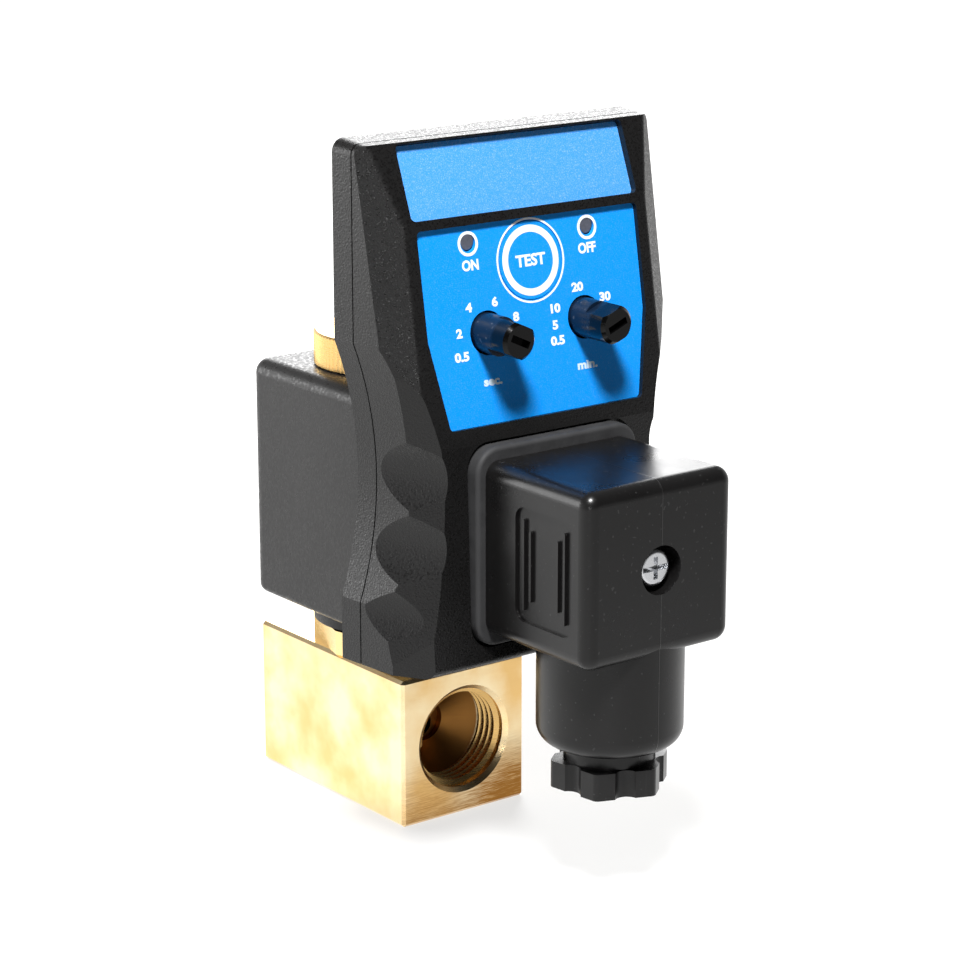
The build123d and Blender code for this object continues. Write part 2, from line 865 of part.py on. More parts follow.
def coil_blades():
    return blades(coil_front - blade_root, coil_front + blade_len)


def screw_insert():
    shape = pin(insert_r - seat_fit, pocket_floor - insert_len + seat_fit, pocket_floor, 0, plug_z)
    return shape - pin(plug_screw_r + turn_fit, pocket_floor - insert_len, pocket_floor, 0, plug_z)


def plug_gasket():
    shape = rounded_pad(gasket_half, gasket_half, gasket_round, pocket_floor, gasket_front, plug_z)
    front_rim = shape.faces().sort_by(Axis.Y)[0].edges()
    shape = fillet(front_rim, gasket_edge)
    shape -= pin(plug_screw_r + part_gap, pocket_floor, gasket_front, 0, plug_z)
    return blade_slots(shape, pocket_floor, gasket_front)


def plug_housing():
    half_w = plug_w / 2
    half_h = plug_h / 2
    shape = block(-half_w, half_w, gasket_front, plug_front, plug_z - half_h, plug_z + half_h)
    shape = fillet(shape.edges().filter_by(Axis.Y), plug_round)
    shape = fillet(shape.faces().sort_by(Axis.Y)[0].edges(), plug_front_round)
    gland = post(gland_r, gland_low, plug_z - half_h + plug_round, 0, gland_out)
    gland = fillet(gland.faces().sort_by(Axis.Z)[0].edges(), gland_round)
    shape += gland
    inner_w = half_w - plug_wall
    inner_h = half_h - plug_wall
    inner_front = plug_front - plug_front_wall
    cavity = block(-inner_w, inner_w, gasket_front, inner_front, plug_z - inner_h, plug_z + inner_h)
    cavity -= pin(screw_well_r + boss_wall, well_floor - boss_wall, plug_front, 0, plug_z)
    shape -= cavity
    shape -= pin(screw_well_r, well_floor, plug_front, 0, plug_z)
    shape -= pin(plug_screw_r + part_gap, gasket_front, plug_front, 0, plug_z)
    shape -= post(gland_bore_r, gland_low, seal_shelf, 0, gland_out)
    shape -= post(cable_way_r, gland_low, plug_z - inner_h + overlap, 0, gland_out)
    for side in (-1, 1):
        shape -= side_panel(side)
    return shape


def side_panel(side):
    """Shallow recess with upright ribs in the plug's side."""
    mid_out = gasket_front + sum(panel_y) / 2
    mid_z = plug_z + sum(panel_z) / 2
    wide = panel_y[1] - panel_y[0]
    tall = panel_z[1] - panel_z[0]
    face = Plane(origin=(side * plug_w / 2, -mid_out, mid_z), x_dir=(0, -1, 0), z_dir=(side, 0, 0))
    recess = extrude(face * RectangleRounded(wide, tall, panel_round), panel_depth, both=True)
    for place, length in ribs:
        for way in (-1, 1):
            rib = Pos(way * place * wide, 0) * SlotOverall(length * tall, rib_t, rotation=90)
            recess -= extrude(face * rib, panel_depth, both=True)
    return recess


def terminal_block():
    """Carrier inside the plug that grips the blades."""
    back = gasket_front + seat_fit
    shape = rounded_pad(carrier_half, carrier_half_h, block_round, back, back + carrier_t, plug_z)
    shape = blade_slots(shape, back, pocket_floor + blade_len + seat_fit)
    shape -= pin(plug_screw_r + part_gap, back, back + carrier_t, 0, plug_z)
    for x, z, w, h in blade_places():
        shape -= pin(carrier_screw_r, back + carrier_t - carrier_screw_len, back + carrier_t, x, z)
    return shape


def terminal_screws():
    """Clamping screws for the cable's three wires."""
    group = []
    front = gasket_front + seat_fit + carrier_t
    for x, z, w, h in blade_places():
        head = front - carrier_screw_sink
        screw = pin(carrier_screw_r - seat_fit, front - carrier_screw_len, head, x, z)
        r = carrier_screw_r
        half = carrier_slot_half_w
        screw -= block(x - r, x + r, head - carrier_slot_d, head, z - half, z + half)
        group.append(screw)
    return Compound(children=group)


def screw_washer():
    ring = pin(screw_well_r - part_gap, well_floor, well_floor + washer_t, 0, plug_z)
    return ring - pin(plug_screw_r + turn_fit, well_floor, well_floor + washer_t, 0, plug_z)


def plug_screw():
    head = well_floor + washer_t + turn_fit
    shape = pin(plug_head_r, head, head + plug_head_h, 0, plug_z)
    shape = fillet(shape.faces().sort_by(Axis.Y)[0].edges(), plug_head_round)
    tip = head + plug_head_h
    slots = ((plug_slot_half, plug_slot_half_w), (plug_slot_half_w, plug_cross_half))
    for half_x, half_z in slots:
        shape -= block(-half_x, half_x, tip - plug_slot_d, tip, plug_z - half_z, plug_z + half_z)
    end = pocket_floor - insert_len + plug_screw_short
    return shape + pin(plug_screw_r, end, head, 0, plug_z)


def gland_nut():
    top = gland_nut_low + gland_nut_h
    outline = Rot(0, 0, gland_nut_turn) * RegularPolygon(gland_nut_corner_r, 6)
    outline = fillet(outline.vertices(), gland_nut_round)
    flat = gland_nut_corner_r * math.cos(math.pi / 6)
    for side in range(6):
        turn = Rot(0, 0, gland_nut_turn + 30 + 60 * side)
        groove = turn * Pos(flat + gland_nut_groove_r - gland_nut_groove_d, 0) * Circle(gland_nut_groove_r)
        outline -= groove
    shape = Pos(0, -gland_out, gland_nut_low) * extrude(outline, gland_nut_h)
    shape += post(neck_r, top, seal_shelf - gland_seal_h - gland_washer_h - 2 * part_gap, 0, gland_out)
    return shape - post(nut_bore_r, gland_nut_low, seal_shelf, 0, gland_out)


def gland_seal():
    ring = post(neck_r, seal_shelf - gland_seal_h, seal_shelf, 0, gland_out)
    return ring - post(cable_r, seal_shelf - gland_seal_h, seal_shelf, 0, gland_out)


def gland_washer():
    low = seal_shelf - gland_seal_h - gland_washer_h
    ring = post(neck_r, low, low + gland_washer_h, 0, gland_out)
    return ring - post(washer_bore_r, low, low + gland_washer_h, 0, gland_out)


# ---------------------------------------------------------------- write every node
save("valve_body", valve_body())
save("base_o_ring", base_o_ring())
save("tube_base", tube_base())
save("guide_tube", guide_tube())
save("fixed_core", fixed_core())
save("shading_ring", shading_ring())
save("plunger", plunger())
save("plunger_seal", plunger_seal())
save("plunger_spring", plunger_spring())
save("coil_body", coil_body())
save("coil_bobbin", coil_bobbin())
save("coil_winding", coil_winding())
save("coil_yoke", coil_yoke())
save("coil_blades", coil_blades())
save("coil_seal", coil_seal())
save("coil_nut", coil_nut())
save("coil_gasket", coil_gasket())
save("rear_shell", rear_shell())
save("front_shell", front_shell())
save("shell_screws", shell_screws())
save("socket_block", socket_block())
save("circuit_board", circuit_board())
save("board_components", board_components())
save("time_setters", time_setters())
save("test_switch", test_switch())
save("on_led", led(-1))
save("off_led", led(1))
save("upper_label", upper_label())
save("control_label", control_label())
save("test_button", test_button())
save("on_time_knob", knob(-1, knob_turns[0]))
save("off_time_knob", knob(1, knob_turns[1]))
save("front_blades", front_blades())
save("screw_insert", screw_insert())
save("plug_gasket", plug_gasket())
save("plug_housing", plug_housing())
save("terminal_block", terminal_block())
save("terminal_screws", terminal_screws())
save("screw_washer", screw_washer())
save("plug_screw", plug_screw())
save("gland_seal", gland_seal())
save("gland_washer", gland_washer())
save("gland_nut", gland_nut())
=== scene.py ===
import json
import math

import bmesh
import bpy
from bpy.props import FloatProperty, FloatVectorProperty, IntProperty
from mathutils import Matrix, Vector


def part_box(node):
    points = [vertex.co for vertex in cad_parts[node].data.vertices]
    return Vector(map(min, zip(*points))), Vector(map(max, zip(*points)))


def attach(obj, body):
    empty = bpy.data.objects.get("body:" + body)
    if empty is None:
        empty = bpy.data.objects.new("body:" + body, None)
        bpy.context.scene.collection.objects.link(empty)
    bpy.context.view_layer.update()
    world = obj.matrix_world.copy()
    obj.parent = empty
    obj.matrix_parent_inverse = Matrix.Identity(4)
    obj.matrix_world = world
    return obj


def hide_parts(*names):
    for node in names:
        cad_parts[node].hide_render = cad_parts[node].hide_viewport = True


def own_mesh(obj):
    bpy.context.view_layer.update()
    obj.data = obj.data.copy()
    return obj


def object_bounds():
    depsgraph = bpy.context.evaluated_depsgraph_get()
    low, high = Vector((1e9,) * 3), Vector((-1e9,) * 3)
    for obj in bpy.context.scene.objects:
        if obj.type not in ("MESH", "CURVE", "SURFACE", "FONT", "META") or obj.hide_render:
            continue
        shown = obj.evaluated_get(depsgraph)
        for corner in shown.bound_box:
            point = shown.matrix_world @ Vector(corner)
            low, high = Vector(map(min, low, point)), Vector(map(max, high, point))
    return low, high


bl_info = {
    "name": "Drain valve looks",
    "version": (1, 0, 0),
    "blender": (4, 5, 0),
    "location": "View3D > Sidebar > Drain valve",
    "description": "Dresses the packed drain valve with finishes, print, threads and a studio",
    "category": "Object",
}

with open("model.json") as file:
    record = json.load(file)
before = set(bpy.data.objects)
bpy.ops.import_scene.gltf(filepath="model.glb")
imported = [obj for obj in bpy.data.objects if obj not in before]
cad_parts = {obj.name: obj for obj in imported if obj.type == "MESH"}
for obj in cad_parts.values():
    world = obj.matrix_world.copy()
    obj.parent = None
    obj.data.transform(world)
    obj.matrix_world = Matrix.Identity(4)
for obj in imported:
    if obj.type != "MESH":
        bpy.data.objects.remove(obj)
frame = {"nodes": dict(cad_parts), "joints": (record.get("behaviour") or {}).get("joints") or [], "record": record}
CAD_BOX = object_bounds()
NODES = frame["nodes"]
JOINTS = {joint["name"]: joint for joint in frame["joints"]}
MOUNTS = {mount["name"]: mount for mount in frame["record"]["mounts"]}
MM = 0.001

PALE_BRASS = (0.97, 0.80, 0.50)
CLOUDED_BRASS = (0.84, 0.55, 0.22)
# Painted shade for the foot of the brass ends.
FOOT_SHADE_BRASS = (0.34, 0.15, 0.03)
# Painted shade for the inside of the ports.
PORT_SHADE_BRASS = (0.20, 0.09, 0.022)
KNURLED_BRASS = (0.90, 0.60, 0.24)
# Painted shade: a darker copy of the brass for the threads inside the ports.
SHADED_THREAD_BRASS = (0.72, 0.46, 0.17)
STEEL = (0.56, 0.56, 0.57)
YOKE_PLATING = (0.55, 0.55, 0.55)
ZINC = (0.70, 0.71, 0.73)
TIN = (0.72, 0.71, 0.69)
COPPER = (0.80, 0.38, 0.22)
ENAMELLED_COPPER = (0.70, 0.30, 0.12)
INNER_PLASTIC = (0.06, 0.06, 0.06)
TIP_BLACK = (0.0015, 0.0015, 0.0015)
SOLDER_MASK = (0.01, 0.09, 0.04)
SMOKED_LENS = (0.07, 0.075, 0.10)
FLOOR_GREY = (0.20, 0.20, 0.20)

PLASTIC_SHINE = 0.34
SATIN_SHINE = 0.25
FILM_SHINE = 0.3
# Reflection left inside the knobs' slots, as painted shade.
SLOT_SHADE_SHINE = 0.03

MERGE_DISTANCE = 1e-7
SHARP_ANGLE = math.radians(30)
PRINT_LIFT = 0.01 * MM      # the print's foot over the film


# ---------------------------------------------------------------- settings
class ValveFinishes(bpy.types.PropertyGroup):
    """Colours and surface values of the valve."""
    brass: FloatVectorProperty(
        name="Brass", description="Colour of the machined body", subtype="COLOR",
        size=3, min=0, max=1, default=(0.93, 0.69, 0.33))
    housing: FloatVectorProperty(
        name="Timer housing", description="Colour of the grained timer shells",
        subtype="COLOR", size=3, min=0, max=1, default=(0.005, 0.0048, 0.0048))
    coil: FloatVectorProperty(
        name="Coil", description="Colour of the moulded coil", subtype="COLOR",
        size=3, min=0, max=1, default=(0.010, 0.0095, 0.0095))
    plug: FloatVectorProperty(
        name="Cable plug", description="Colour of the cable plug and its gland",
        subtype="COLOR", size=3, min=0, max=1, default=(0.0055, 0.0052, 0.0052))
    rubber: FloatVectorProperty(
        name="Rubber", description="Colour of gaskets and seals", subtype="COLOR",
        size=3, min=0, max=1, default=(0.020, 0.020, 0.021))
    knob: FloatVectorProperty(
        name="Knobs", description="Colour of the time knobs", subtype="COLOR",
        size=3, min=0, max=1, default=(0.004, 0.011, 0.026))
    control_film: FloatVectorProperty(
        name="Control label", description="Colour of the lower printed film",
        subtype="COLOR", size=3, min=0, max=1, default=(0.0, 0.275, 0.84))
    upper_film: FloatVectorProperty(
        name="Upper label", description="Colour of the upper film", subtype="COLOR",
        size=3, min=0, max=1, default=(0.045, 0.275, 0.72))
    ink: FloatVectorProperty(
        name="Print", description="Colour of the printed words and rings",
        subtype="COLOR", size=3, min=0, max=1, default=(0.90, 0.92, 0.94))
    unit_ink: FloatVectorProperty(
        name="Unit print", description="Colour of the printed units", subtype="COLOR",
        size=3, min=0, max=1, default=(0.62, 0.76, 0.88))
    on_turn: FloatProperty(
        name="ON time knob", description="Turn of the left knob's slot from its moulded place",
        subtype="ANGLE", unit="ROTATION", default=math.radians(60))
    off_turn: FloatProperty(
        name="OFF time knob", description="Turn of the right knob's slot from its moulded place",
        subtype="ANGLE", unit="ROTATION", default=math.radians(-22))
    grain: FloatProperty(
        name="Housing grain", description="Height of the moulded grain",
        subtype="DISTANCE", unit="LENGTH", min=0, default=0.00004)


class ValvePrint(bpy.types.PropertyGroup):
    """Sizes of the printed words and rings."""
    thickness: FloatProperty(
        name="Ink thickness", description="How far the print stands off the film",
        subtype="DISTANCE", unit="LENGTH", min=0, default=0.00002)
    digit_height: FloatProperty(
        name="Digits", description="Height of the scale's digits",
        subtype="DISTANCE", unit="LENGTH", min=0, default=0.00124)
    word_height: FloatProperty(
        name="Words", description="Height of the words beside the lamps",
        subtype="DISTANCE", unit="LENGTH", min=0, default=0.00145)
    test_height: FloatProperty(
        name="Button word", description="Height of the word on the button",
        subtype="DISTANCE", unit="LENGTH", min=0, default=0.00165)
    boldness: FloatProperty(
        name="Boldness", description="How far each letter's outline is widened",
        subtype="DISTANCE", unit="LENGTH", min=0, default=0.00008)
    digit_width: FloatProperty(
        name="Digit width", description="Width of the digits against the font's own",
        min=0.1, default=1.2)
    word_width: FloatProperty(
        name="Word width", description="Width of the lamp words against the font's own",
        min=0.1, default=0.92)
    unit_width: FloatProperty(
        name="Unit width", description="Width of the units against the font's own",
        min=0.1, default=1.25)
    test_width: FloatProperty(
        name="Button word width", description="Width of the button's word against the font's own",
        min=0.1, default=1.06)


class ValveThread(bpy.types.PropertyGroup):
    """Sizes of the pipe thread in the ports."""
    pitch: FloatProperty(
        name="Pitch", description="Distance between two turns of the pipe thread",
        subtype="DISTANCE", unit="LENGTH", min=0.0001, default=0.001337)
    height: FloatProperty(
        name="Height", description="How far the thread stands off the port's wall",
        subtype="DISTANCE", unit="LENGTH", min=0, default=0.00080)
    steps: IntProperty(
        name="Steps", description="Faces in one turn of the thread", min=12, default=72)


class ValveStudio(bpy.types.PropertyGroup):
    """Values of the floor, the lamps and the camera."""
    key_power: FloatProperty(
        name="Main lamp", description="Power of the main lamp in watts", min=0, default=11.5)
    side_power: FloatProperty(
        name="Side lamp", description="Power of the lamp at the front left in watts",
        min=0, default=0.4)
    back_power: FloatProperty(
        name="Rear lamps", description="Power of each of the two wide lamps at the rear in watts",
        min=0, default=4.2)
    world_strength: FloatProperty(
        name="Surroundings", description="Strength of the pale surroundings",
        min=0, default=0.14)
    lens: FloatProperty(
        name="Focal length", description="Focal length of the camera in millimetres",
        min=1, default=108.9)


# ---------------------------------------------------------------- material helpers
def new_material(name, colour, metallic=0.0, roughness=0.5):
    """Start a material whose shader holds the values that are the same all over."""
    mat = bpy.data.materials.new(name)
    mat.use_nodes = True
    shader = mat.node_tree.nodes["Principled BSDF"]
    shader.inputs["Base Color"].default_value = (*colour, 1.0)
    shader.inputs["Metallic"].default_value = metallic
    shader.inputs["Roughness"].default_value = roughness
    return mat, mat.node_tree, shader


def place(tree, stretch=(1, 1, 1), turn=(0, 0, 0)):
    """Object coordinates, stretched and turned."""
    coordinates = tree.nodes.new("ShaderNodeTexCoord")
    mapping = tree.nodes.new("ShaderNodeMapping")
    mapping.inputs["Scale"].default_value = stretch
    mapping.inputs["Rotation"].default_value = turn
    tree.links.new(coordinates.outputs["Object"], mapping.inputs["Vector"])
    return mapping.outputs["Vector"]


def position(tree):
    """X, Y and Z of the shaded point, in object coordinates."""
    at = tree.nodes.new("ShaderNodeSeparateXYZ")
    tree.links.new(place(tree), at.inputs["Vector"])
    return at.outputs


def noise(tree, grain_size, detail=2.0, stretch=(1, 1, 1), rough=0.5):
    """Noise whose features are about grain_size metres wide."""
    node = tree.nodes.new("ShaderNodeTexNoise")
    node.inputs["Scale"].default_value = 1.0 / grain_size
    node.inputs["Detail"].default_value = detail
    node.inputs["Roughness"].default_value = rough
    tree.links.new(place(tree, stretch), node.inputs["Vector"])
    return node.outputs["Fac"]


def cells(tree, size):
    """Distance to the middle of small random cells."""
    node = tree.nodes.new("ShaderNodeTexVoronoi")
    node.inputs["Scale"].default_value = 1.0 / size
    tree.links.new(place(tree), node.inputs["Vector"])
    return node.outputs["Distance"]


def spread(tree, value, low, high, out_low, out_high):
    """Clamped map of a value onto a new span."""
    node = tree.nodes.new("ShaderNodeMapRange")
    node.inputs["From Min"].default_value = low
    node.inputs["From Max"].default_value = high
    node.inputs["To Min"].default_value = out_low
    node.inputs["To Max"].default_value = out_high
    tree.links.new(value, node.inputs["Value"])
    return node.outputs["Result"]


def blend_colours(tree, factor, first, second):
    """Mix of two colours by a factor."""
    node = tree.nodes.new("ShaderNodeMix")
    node.data_type = "RGBA"
    tree.links.new(factor, node.inputs[0])
    node.inputs[6].default_value = (*first, 1.0)
    node.inputs[7].default_value = (*second, 1.0)
    return node.outputs[2]


def mix_over(tree, factor, under, second):
    """Lay one plain colour over a coloured result by a factor."""
    node = tree.nodes.new("ShaderNodeMix")
    node.data_type = "RGBA"
    tree.links.new(factor, node.inputs[0])
    tree.links.new(under, node.inputs[6])
    node.inputs[7].default_value = (*second, 1.0)
    return node.outputs[2]


def join_math(tree, operation, first, second):
    """One sum, product or comparison of two values."""
    node = tree.nodes.new("ShaderNodeMath")
    node.operation = operation
    for socket, value in zip(node.inputs, (first, second)):
        if isinstance(value, (int, float)):
            socket.default_value = value
        else:
            tree.links.new(value, socket)
    return node.outputs[0]


def axis_distance(tree, at, middle_x, middle_z):
    """Distance of the shaded point from an axis that runs along Y."""
    across = join_math(tree, "SUBTRACT", at["X"], middle_x)
    rise = join_math(tree, "SUBTRACT", at["Z"], middle_z)
    squares = join_math(tree, "ADD", join_math(tree, "MULTIPLY", across, across),
                        join_math(tree, "MULTIPLY", rise, rise))
    return join_math(tree, "SQRT", squares, 0.0)


def add_bump(tree, shader, height, distance, strength=1.0):
    """Raise the surface by a height field."""
    node = tree.nodes.new("ShaderNodeBump")
    node.inputs["Distance"].default_value = distance
    node.inputs["Strength"].default_value = strength
    tree.links.new(height, node.inputs["Height"])
    tree.links.new(node.outputs["Normal"], shader.inputs["Normal"])


def scaled(colour, factor):
    """Lighter or darker tone of a colour."""
    return tuple(min(1.0, channel * factor) for channel in colour)


# ---------------------------------------------------------------- materials
def grained_plastic(name, colour, grain, roughness, cell=0.00032):
    """Black moulding with a spark-eroded grain and tiny glints."""
    mat, tree, shader = new_material(name, colour, roughness=roughness)
    shader.inputs["Specular IOR Level"].default_value = PLASTIC_SHINE
    lumps = cells(tree, cell)
    fine = noise(tree, cell * 0.8, detail=3.0)
    add_bump(tree, shader, join_math(tree, "ADD", lumps, fine), grain, 0.8)
    wear = noise(tree, 0.012, detail=3.0)
    tree.links.new(blend_colours(tree, wear, scaled(colour, 0.8), scaled(colour, 1.5)),
                   shader.inputs["Base Color"])
    glints = spread(tree, noise(tree, cell * 1.2, detail=1.0), 0.45, 0.72,
                    roughness + 0.08, roughness - 0.14)
    tree.links.new(glints, shader.inputs["Roughness"])
    return mat


def smooth_plastic(name, colour, roughness, shine=SATIN_SHINE, seam=0.0):
    """Satin moulding with a faint flow pattern and fine dust. A seam is the width of the
    raised mould line at x = 0."""
    mat, tree, shader = new_material(name, colour, roughness=roughness)
    shader.inputs["Specular IOR Level"].default_value = shine
    flow = noise(tree, 0.009, detail=3.0)
    tree.links.new(spread(tree, flow, 0.3, 0.7, roughness - 0.04, roughness + 0.06),
                   shader.inputs["Roughness"])
    specks = spread(tree, noise(tree, 0.0005, detail=0.0), 0.775, 0.82, 0.0, 1.0)
    dusty = tuple(channel + 0.02 for channel in colour)
    tree.links.new(blend_colours(tree, specks, colour, dusty), shader.inputs["Base Color"])
    height = noise(tree, 0.0011, detail=3.0)
    if seam:
        off = join_math(tree, "ABSOLUTE", position(tree)["X"], 0.0)
        height = join_math(tree, "ADD", height, spread(tree, off, 0.0, seam, 5.0, 0.0))
    add_bump(tree, shader, height, 0.000012, 0.6)
    return mat


def knob_plastic(name, colour, boxes):
    """Navy satin knobs whose slotted tips are polished black, with painted shade in the slots, whose inside barely
    reflects. The boxes are those of the two knobs."""
    mat, tree, shader = new_material(name, colour, roughness=0.26)
    at = position(tree)
    tip_y = boxes[0][0].y
    tip = spread(tree, at["Y"], tip_y + 3.0 * MM, tip_y + 3.6 * MM, 1.0, 0.0)
    specks = spread(tree, noise(tree, 0.0005, detail=0.0), 0.74, 0.80, 0.0, 1.0)
    body = blend_colours(tree, specks, colour, tuple(channel + 0.05 for channel in colour))
    tree.links.new(mix_over(tree, tip, body, TIP_BLACK), shader.inputs["Base Color"])
    # Painted shade: inside each slot the reflection falls almost to nothing, so the slot reads black.
    within = []
    for low, high in boxes:
        off = axis_distance(tree, at, (low.x + high.x) / 2, (low.z + high.z) / 2)
        within.append(spread(tree, off, 1.85 * MM, 1.9 * MM, 1.0, 0.0))
    sunk = spread(tree, at["Y"], tip_y + 0.04 * MM, tip_y + 0.08 * MM, 0.0, 1.0)
    slot_shade = join_math(tree, "MULTIPLY", join_math(tree, "ADD", *within), sunk)
    tree.links.new(spread(tree, slot_shade, 0.0, 1.0, SATIN_SHINE, SLOT_SHADE_SHINE),
                   shader.inputs["Specular IOR Level"])
    satin = spread(tree, noise(tree, 0.004, detail=3.0), 0.3, 0.7, 0.22, 0.32)
    polish = spread(tree, tip, 0.0, 1.0, 1.0, 0.5)
    tree.links.new(join_math(tree, "MULTIPLY", satin, polish), shader.inputs["Roughness"])
    add_bump(tree, shader, noise(tree, 0.0008, detail=2.0), 0.00001, 0.5)
    return mat


def machined_brass(name, colour, port):
    """Brass with brushed ends and polished sides, with painted shade that darkens the ends in streaks towards
    their foot and painted shade inside the ports."""
    mat, tree, shader = new_material(name, colour, metallic=1.0, roughness=0.25)
    facing = tree.nodes.new("ShaderNodeTexCoord")
    split = tree.nodes.new("ShaderNodeSeparateXYZ")
    tree.links.new(facing.outputs["Normal"], split.inputs["Vector"])
    endways = join_math(tree, "ABSOLUTE", split.outputs["Y"], 0.0)
    brushed = spread(tree, endways, 0.6, 0.8, 0.0, 1.0)
    scratches = noise(tree, 0.0030, detail=4.0, stretch=(1.0, 1.0, 22.0), rough=0.7)
    swirl = noise(tree, 0.0040, detail=3.0, stretch=(1.0, 9.0, 1.0), rough=0.6)
    stain = spread(tree, noise(tree, 0.012, detail=5.0), 0.35, 0.62, 0.0, 1.0)
    tint = blend_colours(tree, stain, CLOUDED_BRASS, PALE_BRASS)
    at = position(tree)
    # Painted shade: the ends darken in streaks towards their foot, more towards the right, standing in for a
    # darker reflection near the floor.
    foot = spread(tree, at["Z"], 0.0, 12 * MM, 1.0, 0.0)
    foot = join_math(tree, "MULTIPLY", foot, brushed)
    foot = join_math(tree, "MULTIPLY", foot, spread(tree, scratches, 0.3, 0.65, 0.3, 1.0))
    foot = join_math(tree, "MULTIPLY", foot, spread(tree, at["X"], 0.0, 8 * MM, 1.0, 2.0))
    foot = join_math(tree, "MINIMUM", foot, 1.0)
    tint = mix_over(tree, foot, tint, FOOT_SHADE_BRASS)
    # Painted shade: the inside of each port, from just behind its face inward, gets a dark brass colour.
    radius = port["dims"]["r_mm"] * MM
    off = axis_distance(tree, at, port["pos_m"][0], port["pos_m"][2])
    bore_shade = spread(tree, off, radius - 0.23 * MM, radius + 0.07 * MM, 1.0, 0.0)
    face = CAD_BOX[1].y
    depth = join_math(tree, "ABSOLUTE", at["Y"], 0.0)
    depth = spread(tree, depth, face - 1.5 * MM, face - 0.3 * MM, 1.0, 0.0)
    tint = mix_over(tree, join_math(tree, "MULTIPLY", bore_shade, depth), tint, PORT_SHADE_BRASS)
    tree.links.new(tint, shader.inputs["Base Color"])
    polish = spread(tree, swirl, 0.3, 0.7, 0.13, 0.24)
    brush = spread(tree, scratches, 0.3, 0.7, 0.30, 0.46)
    span = join_math(tree, "SUBTRACT", brush, polish)
    rough = join_math(tree, "ADD", polish, join_math(tree, "MULTIPLY", span, brushed))
    tree.links.new(rough, shader.inputs["Roughness"])
    add_bump(tree, shader, join_math(tree, "MULTIPLY", scratches, brushed), 0.00002, 0.5)
    return mat


def turned_metal(name, colour, roughness, pitch=0.00018):
    """Metal with fine turning marks round the upright axis."""
    mat, tree, shader = new_material(name, colour, metallic=1.0, roughness=roughness)
    marks = noise(tree, pitch * 12, detail=4.0, stretch=(1.0, 1.0, 14.0), rough=0.7)
    tree.links.new(spread(tree, marks, 0.3, 0.7, roughness * 0.75, roughness * 1.35),
                   shader.inputs["Roughness"])
    tint = noise(tree, 0.004, detail=3.0)
    tree.links.new(blend_colours(tree, tint, scaled(colour, 0.88), scaled(colour, 1.1)),
                   shader.inputs["Base Color"])
    add_bump(tree, shader, marks, 0.000012, 0.5)
    return mat


def plated_metal(name, colour, roughness):
    """Bright plating with a faint cloudy tone."""
    mat, tree, shader = new_material(name, colour, metallic=1.0, roughness=roughness)
    cloud = noise(tree, 0.0009, detail=4.0)
    tree.links.new(blend_colours(tree, cloud, scaled(colour, 0.82), scaled(colour, 1.15)),
                   shader.inputs["Base Color"])
    tree.links.new(spread(tree, cloud, 0.3, 0.7, roughness * 0.7, roughness * 1.5),
                   shader.inputs["Roughness"])
    return mat


def rubber(name, colour):
    """Dull moulded rubber with a powdery bloom."""
    mat, tree, shader = new_material(name, colour, roughness=0.7)
    bloom = noise(tree, 0.003, detail=5.0, rough=0.65)
    tree.links.new(blend_colours(tree, bloom, scaled(colour, 0.7), scaled(colour, 1.6)),
                   shader.inputs["Base Color"])
    tree.links.new(spread(tree, bloom, 0.3, 0.7, 0.6, 0.82), shader.inputs["Roughness"])
    add_bump(tree, shader, noise(tree, 0.00035, detail=3.0), 0.00002, 0.5)
    return mat


def printed_film(name, colour, painted_sheen, roughness):
    """Printed film with a fine pebbled face and painted sheen: pale specks in its colour stand in for glints."""
    mat, tree, shader = new_material(name, colour, roughness=roughness)
    shader.inputs["Specular IOR Level"].default_value = FILM_SHINE
    # Painted sheen: pale specks mixed into the film's colour stand in for glints of light.
    specks = spread(tree, noise(tree, 0.00016, detail=1.0), 0.50, 0.80, 0.0, painted_sheen)
    pale = tuple(channel + (1.0 - channel) * 0.55 for channel in colour)
    tree.links.new(blend_colours(tree, specks, colour, pale), shader.inputs["Base Color"])
    add_bump(tree, shader, noise(tree, 0.00028, detail=2.0), 0.00002, 0.5)
    return mat


def ink_print(name, colour):
    """Opaque screen print with a slightly uneven coat."""
    mat, tree, shader = new_material(name, colour, roughness=0.45)
    coat = noise(tree, 0.0005, detail=3.0)
    tree.links.new(blend_colours(tree, coat, scaled(colour, 0.93), scaled(colour, 1.04)),
                   shader.inputs["Base Color"])
    return mat


def lamp_lens(name, colour):
    """Unlit smoky lens with a milky core."""
    mat, tree, shader = new_material(name, colour, roughness=0.25)
    milky = noise(tree, 0.0006, detail=3.0)
    tree.links.new(blend_colours(tree, milky, scaled(colour, 0.7), scaled(colour, 1.5)),
                   shader.inputs["Base Color"])
    shader.inputs["Coat Weight"].default_value = 0.4
    return mat


def wound_wire(name, colour):
    """Rows of enamelled wire round an upright axis."""
    mat, tree, shader = new_material(name, colour, metallic=1.0, roughness=0.3)
    rows = tree.nodes.new("ShaderNodeTexWave")
    rows.wave_type = "BANDS"
    rows.bands_direction = "Z"
    rows.inputs["Scale"].default_value = 900.0
    tree.links.new(place(tree), rows.inputs["Vector"])
    add_bump(tree, shader, rows.outputs["Fac"], 0.00010, 1.0)
    tree.links.new(blend_colours(tree, rows.outputs["Fac"], scaled(colour, 0.45), colour),
                   shader.inputs["Base Color"])
    return mat


def circuit_finish(name, colour):
    """Solder mask with faint tracks under it."""
    mat, tree, shader = new_material(name, colour, roughness=0.3)
    tracks = tree.nodes.new("ShaderNodeTexBrick")
    tracks.inputs["Scale"].default_value = 260.0
    tracks.inputs["Color1"].default_value = (*colour, 1.0)
    tracks.inputs["Color2"].default_value = (*scaled(colour, 1.5), 1.0)
    tracks.inputs["Mortar"].default_value = (*scaled(colour, 0.6), 1.0)
    tree.links.new(place(tree, turn=(math.pi / 2, 0, 0)), tracks.inputs["Vector"])
    tree.links.new(tracks.outputs["Color"], shader.inputs["Base Color"])
    return mat


def dress(node, material):
    """Give a carried-over node its finish."""
    mesh = NODES[node].data
    mesh.materials.clear()
    mesh.materials.append(material)


